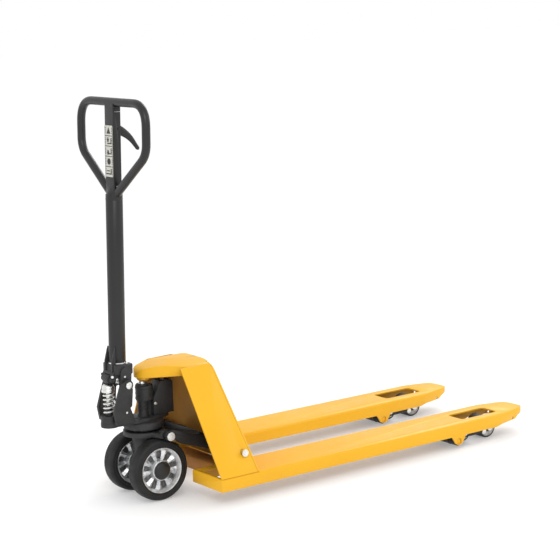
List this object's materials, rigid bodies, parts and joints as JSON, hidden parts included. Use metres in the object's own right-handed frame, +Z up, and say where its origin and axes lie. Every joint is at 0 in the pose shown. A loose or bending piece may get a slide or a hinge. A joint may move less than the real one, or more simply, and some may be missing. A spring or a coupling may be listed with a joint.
{
  "type": "pallet jack",
  "caption": "Hand pallet jack: two yellow forks on small rollers, hydraulic steering pump on twin wheels, and an upright looped pump handle with a release lever.",
  "frame": {"origin": "on the floor under the middle of the truck's length and width, forks lowered, wheels straight, handle upright", "axes": "+X towards the fork tips, +Y to the left of an operator facing the forks, +Z up"},
  "size_m": [1.5292, 0.55, 1.2247],
  "materials": {
    "fork_paint": "yellow powder coat, satin",
    "black_paint": "black powder coat, satin",
    "cast_black": "black painted casting, matt",
    "zinc": "zinc plated steel",
    "spring_steel": "bright spring steel",
    "rim_aluminium": "die cast, as cast",
    "tyre_rubber": "black solid rubber",
    "roller_nylon": "dark nylon",
    "decal": "printed film"
  },
  "bodies": {
    "base_bracket": {"base_bracket": "cast_black", "thrust_bearing": "cast_black"},
    "steer_unit": {"pump_body": "cast_black", "handle_bracket": "cast_black", "oil_reservoir": "cast_black", "cylinder_gland": "cast_black", "wheel_axle": "zinc", "handle_pivot_pin": "zinc"},
    "lift_rod": {"lift_rod": "zinc"},
    "pump_plunger": {"pump_plunger": "zinc", "spring_cap": "zinc", "pump_spring": "spring_steel"},
    "release_arm": {"release_arm": "zinc"},
    "handle": {"handle_base": "cast_black", "handle_tube": "black_paint", "handle_head": "black_paint", "handle_loop": "black_paint", "lever_pin": "black_paint", "decal_plate": "decal", "base_bolt_left": "zinc", "base_bolt_right": "zinc"},
    "cam_roller": {"cam_roller": "cast_black"},
    "release_lever": {"release_lever": "black_paint"},
    "release_rod": {"release_rod": "zinc"},
    "fork_frame": {"fork_left": "fork_paint", "fork_right": "fork_paint", "side_plate_left": "fork_paint", "side_plate_right": "fork_paint", "back_plate": "fork_paint", "cross_member": "fork_paint", "hood": "fork_paint", "piston_seat": "fork_paint", "shaft_end_pin_left": "zinc", "shaft_end_pin_right": "zinc", "lug_pin_left": "fork_paint", "lug_pin_right": "fork_paint"},
    "rocker": {"rocker_arm": "black_paint", "rocker_pin_left": "zinc", "rocker_pin_right": "zinc"},
    "wheel_left": {"tyre_left": "tyre_rubber", "rim_left": "rim_aluminium", "wheel_bearing_left": "zinc", "hub_cap_left": "black_paint"},
    "push_rod_left": {"push_rod_left": "black_paint"},
    "wheel_frame_left": {"wheel_frame_left": "black_paint", "roller_axle_left": "zinc"},
    "load_roller_left": {"load_roller_left": "roller_nylon"},
    "exit_roller_left": {"exit_roller_left": "roller_nylon"},
    "entry_roller_left": {"entry_roller_left": "roller_nylon"},
    "wheel_right": {"tyre_right": "tyre_rubber", "rim_right": "rim_aluminium", "wheel_bearing_right": "zinc", "hub_cap_right": "black_paint"},
    "push_rod_right": {"push_rod_right": "black_paint"},
    "wheel_frame_right": {"wheel_frame_right": "black_paint", "roller_axle_right": "zinc"},
    "load_roller_right": {"load_roller_right": "roller_nylon"},
    "exit_roller_right": {"exit_roller_right": "roller_nylon"},
    "entry_roller_right": {"entry_roller_right": "roller_nylon"}
  },
  "joints": [
    {"name": "steering", "type": "hinge", "parent": "base_bracket", "child": "steer_unit", "pos_m": [-0.61835, 0, 0.21], "axis": [0, 0, 1], "range_deg": [-90, 90]},
    {"name": "fork_lift", "type": "slide", "parent": "base_bracket", "child": "fork_frame", "axis": [0, 0, 1], "range_m": [0, 0.115]},
    {"name": "lift_rod_travel", "type": "slide", "parent": "steer_unit", "child": "lift_rod", "axis": [0, 0, 1], "range_m": [0, 0.115]},
    {"name": "handle_tilt", "type": "hinge", "parent": "steer_unit", "child": "handle", "pos_m": [-0.69685, 0, 0.366], "axis": [0, -1, 0], "range_deg": [0, 70]},
    {"name": "plunger_stroke", "type": "slide", "parent": "steer_unit", "child": "pump_plunger", "axis": [0, 0, -1], "range_m": [0, 0.05], "deforming": ["pump_spring"]},
    {"name": "cam_roller_spin", "type": "hinge", "parent": "handle", "child": "cam_roller", "pos_m": [-0.7343, 0, 0.38325], "axis": [0, 1, 0], "continuous": true},
    {"name": "release_lever_pull", "type": "hinge", "parent": "handle", "child": "release_lever", "pos_m": [-0.67089, 0, 1.13356], "axis": [0, -1, 0], "range_deg": [-8, 14], "stiffness_Nm_per_rad": 6},
    {"name": "release_rod_travel", "type": "slide", "parent": "handle", "child": "release_rod", "axis": [0.0332, 0, 0.9995], "range_m": [-0.003, 0.005]},
    {"name": "release_arm_turn", "type": "hinge", "parent": "steer_unit", "child": "release_arm", "pos_m": [-0.70135, 0.046, 0.24], "axis": [0, 0, 1], "range_deg": [-12, 20]},
    {"name": "rocker_turn", "type": "hinge", "parent": "fork_frame", "child": "rocker", "pos_m": [-0.41735, 0, 0.144], "axis": [0, -1, 0], "range_deg": [0, 36.7]},
    {"name": "wheel_spin_left", "type": "hinge", "parent": "steer_unit", "child": "wheel_left", "pos_m": [-0.61835, 0.072, 0.095], "axis": [0, 1, 0], "continuous": true},
    {"name": "push_rod_travel_left", "type": "slide", "parent": "fork_frame", "child": "push_rod_left", "axis": [1, 0, 0], "range_m": [0, 0.04]},
    {"name": "wheel_frame_turn_left", "type": "hinge", "parent": "fork_frame", "child": "wheel_frame_left", "pos_m": [0.42765, 0.195, 0.027], "axis": [0, 1, 0], "range_deg": [0, 42.2]},
    {"name": "load_roller_spin_left", "type": "hinge", "parent": "wheel_frame_left", "child": "load_roller_left", "pos_m": [0.59665, 0.195, 0.037], "axis": [0, 1, 0], "continuous": true},
    {"name": "exit_roller_spin_left", "type": "hinge", "parent": "wheel_frame_left", "child": "exit_roller_left", "pos_m": [0.48865, 0.195, 0.037], "axis": [0, 1, 0], "continuous": true},
    {"name": "entry_roller_spin_left", "type": "hinge", "parent": "fork_frame", "child": "entry_roller_left", "pos_m": [0.68765, 0.195, 0.0565], "axis": [0, 1, 0], "continuous": true},
    {"name": "wheel_spin_right", "type": "hinge", "parent": "steer_unit", "child": "wheel_right", "pos_m": [-0.61835, -0.072, 0.095], "axis": [0, 1, 0], "continuous": true},
    {"name": "push_rod_travel_right", "type": "slide", "parent": "fork_frame", "child": "push_rod_right", "axis": [1, 0, 0], "range_m": [0, 0.04]},
    {"name": "wheel_frame_turn_right", "type": "hinge", "parent": "fork_frame", "child": "wheel_frame_right", "pos_m": [0.42765, -0.195, 0.027], "axis": [0, 1, 0], "range_deg": [0, 42.2]},
    {"name": "load_roller_spin_right", "type": "hinge", "parent": "wheel_frame_right", "child": "load_roller_right", "pos_m": [0.59665, -0.195, 0.037], "axis": [0, 1, 0], "continuous": true},
    {"name": "exit_roller_spin_right", "type": "hinge", "parent": "wheel_frame_right", "child": "exit_roller_right", "pos_m": [0.48865, -0.195, 0.037], "axis": [0, 1, 0], "continuous": true},
    {"name": "entry_roller_spin_right", "type": "hinge", "parent": "fork_frame", "child": "entry_roller_right", "pos_m": [0.68765, -0.195, 0.0565], "axis": [0, 1, 0], "continuous": true}
  ],
  "couplings": [
    {"joint": "lift_rod_travel", "follows": "fork_lift", "ratio": 1},
    {"joint": "plunger_stroke", "follows": "handle_tilt", "m_per_rad": 0.0405},
    {"joint": "release_rod_travel", "follows": "release_lever_pull", "m_per_rad": 0.018},
    {"joint": "release_arm_turn", "follows": "release_lever_pull", "ratio": 1.3},
    {"joint": "rocker_turn", "follows": "fork_lift", "rad_per_m": 5.4965},
    {"joint": "push_rod_travel_left", "follows": "fork_lift", "ratio": 0.34783},
    {"joint": "wheel_frame_turn_left", "follows": "fork_lift", "rad_per_m": 6.3315},
    {"joint": "push_rod_travel_right", "follows": "fork_lift", "ratio": 0.34783},
    {"joint": "wheel_frame_turn_right", "follows": "fork_lift", "rad_per_m": 6.3315}
  ]
}
